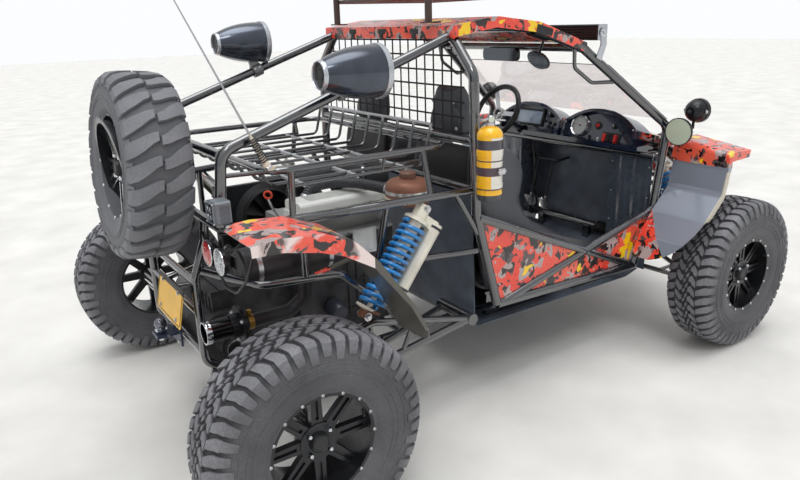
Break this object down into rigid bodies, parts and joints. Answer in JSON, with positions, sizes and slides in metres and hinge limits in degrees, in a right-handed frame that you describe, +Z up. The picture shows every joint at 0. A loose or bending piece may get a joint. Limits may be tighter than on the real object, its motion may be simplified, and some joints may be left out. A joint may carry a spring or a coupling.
{
  "type": "dune buggy",
  "caption": "Two-seat tubular-frame dune buggy with open cage, steerable front wheels, rear engine, cargo rack, roof basket and rear-mounted spare wheel.",
  "frame": {"origin": "middle of the whole object's box, on the ground", "axes": "+X forward, +Y to the vehicle's left, +Z up"},
  "size_m": [3.363, 2.0858, 2.1057],
  "materials": {
    "antenna": "satin",
    "belly_rails": "gloss",
    "cab_tub": "matte",
    "cargo_rack": "gloss",
    "cross_tubes": "gloss",
    "dashboard": "gloss",
    "engine_block": "matte",
    "engine_rails": "gloss",
    "exhaust": "satin",
    "fire_extinguisher": "gloss",
    "front_arms": "gloss",
    "front_bumper": "gloss",
    "front_fenders": "gloss",
    "front_lamps": "clear",
    "grab_handles": "gloss",
    "half_shafts": "satin",
    "hood": "gloss",
    "intake_parts": "satin",
    "knuckle_left": "satin",
    "knuckle_right": "satin",
    "lamp_leads": "satin",
    "light_bar": "gloss",
    "main_hoop": "gloss",
    "mirrors": "gloss",
    "nose_frame": "gloss",
    "number_plate": "satin",
    "pedals": "gloss",
    "rack_floor": "gloss",
    "rear_bumper": "gloss",
    "rear_fenders": "gloss",
    "rear_lamps": "clear",
    "rear_stays": "gloss",
    "rim_front_left": "satin",
    "rim_front_right": "satin",
    "rim_rear_left": "satin",
    "rim_rear_right": "satin",
    "roof_basket": "gloss",
    "roof_panel": "gloss",
    "roof_rails": "gloss",
    "seats": "satin",
    "shift_lever": "gloss",
    "shock_absorbers": "satin",
    "shock_springs": "gloss",
    "side_bars": "gloss",
    "side_panels": "gloss",
    "spare_carrier": "gloss",
    "spare_rim": "satin",
    "spare_tyre": "matte",
    "speaker_pods": "gloss",
    "steering_gear": "gloss",
    "steering_wheel": "gloss",
    "tie_rods": "gloss",
    "tow_hitch": "gloss",
    "trailing_arms": "gloss",
    "tyre_front_left": "matte",
    "tyre_front_right": "matte",
    "tyre_rear_left": "matte",
    "tyre_rear_right": "matte",
    "window_net": "webbing",
    "windscreen": "tinted"
  },
  "bodies": {
    "body": {"antenna": "antenna", "belly_rails": "belly_rails", "cab_tub": "cab_tub", "cargo_rack": "cargo_rack", "cross_tubes": "cross_tubes", "dashboard": "dashboard", "engine_block": "engine_block", "engine_rails": "engine_rails", "exhaust": "exhaust", "fire_extinguisher": "fire_extinguisher", "front_arms": "front_arms", "front_bumper": "front_bumper", "front_fenders": "front_fenders", "front_lamps": "front_lamps", "grab_handles": "grab_handles", "half_shafts": "half_shafts", "hood": "hood", "intake_parts": "intake_parts", "lamp_leads": "lamp_leads", "light_bar": "light_bar", "main_hoop": "main_hoop", "mirrors": "mirrors", "nose_frame": "nose_frame", "number_plate": "number_plate", "pedals": "pedals", "rack_floor": "rack_floor", "rear_bumper": "rear_bumper", "rear_fenders": "rear_fenders", "rear_lamps": "rear_lamps", "rear_stays": "rear_stays", "roof_basket": "roof_basket", "roof_panel": "roof_panel", "roof_rails": "roof_rails", "seats": "seats", "shift_lever": "shift_lever", "shock_absorbers": "shock_absorbers", "shock_springs": "shock_springs", "side_bars": "side_bars", "side_panels": "side_panels", "spare_carrier": "spare_carrier", "spare_rim": "spare_rim", "spare_tyre": "spare_tyre", "speaker_pods": "speaker_pods", "steering_gear": "steering_gear", "tow_hitch": "tow_hitch", "trailing_arms": "trailing_arms", "window_net": "window_net", "windscreen": "windscreen"},
    "steering_wheel": {"steering_wheel": "steering_wheel"},
    "tie_rods": {"tie_rods": "tie_rods"},
    "knuckle_right": {"knuckle_right": "knuckle_right"},
    "knuckle_left": {"knuckle_left": "knuckle_left"},
    "wheel_rear_right": {"tyre_rear_right": "tyre_rear_right", "rim_rear_right": "rim_rear_right"},
    "wheel_rear_left": {"tyre_rear_left": "tyre_rear_left", "rim_rear_left": "rim_rear_left"},
    "wheel_front_right": {"tyre_front_right": "tyre_front_right", "rim_front_right": "rim_front_right"},
    "wheel_front_left": {"tyre_front_left": "tyre_front_left", "rim_front_left": "rim_front_left"}
  },
  "joints": [
    {"name": "wheel_rear_right_spin", "type": "hinge", "parent": "body", "child": "wheel_rear_right", "pos_m": [-1.3005, -0.92, 0.381], "axis": [0, 1, 0], "continuous": true},
    {"name": "wheel_rear_left_spin", "type": "hinge", "parent": "body", "child": "wheel_rear_left", "pos_m": [-1.3005, 0.92, 0.381], "axis": [0, 1, 0], "continuous": true},
    {"name": "steer_right", "type": "hinge", "parent": "body", "child": "knuckle_right", "pos_m": [1.1095, -0.765, 0.381], "axis": [0, 0, 1], "range_deg": [-28, 28]},
    {"name": "steer_left", "type": "hinge", "parent": "body", "child": "knuckle_left", "pos_m": [1.1095, 0.765, 0.381], "axis": [0, 0, 1], "range_deg": [-28, 28]},
    {"name": "wheel_front_right_spin", "type": "hinge", "parent": "knuckle_right", "child": "wheel_front_right", "pos_m": [1.1095, -0.92, 0.381], "axis": [0, 1, 0], "continuous": true},
    {"name": "wheel_front_left_spin", "type": "hinge", "parent": "knuckle_left", "child": "wheel_front_left", "pos_m": [1.1095, 0.92, 0.381], "axis": [0, 1, 0], "continuous": true},
    {"name": "steering_wheel_turn", "type": "hinge", "parent": "body", "child": "steering_wheel", "pos_m": [0.6045, 0.3, 1.127], "axis": [-0.866, 0, 0.5], "range_deg": [-271, 271]},
    {"name": "rack_slide", "type": "slide", "parent": "body", "child": "tie_rods", "axis": [0, 1, 0], "range_m": [-0.067, 0.067]}
  ],
  "couplings": [
    {"joint": "steer_left", "follows": "steer_right", "ratio": 1},
    {"joint": "steering_wheel_turn", "follows": "steer_right", "ratio": 9.64},
    {"joint": "rack_slide", "follows": "steer_right", "m_per_rad": -0.1345}
  ]
}
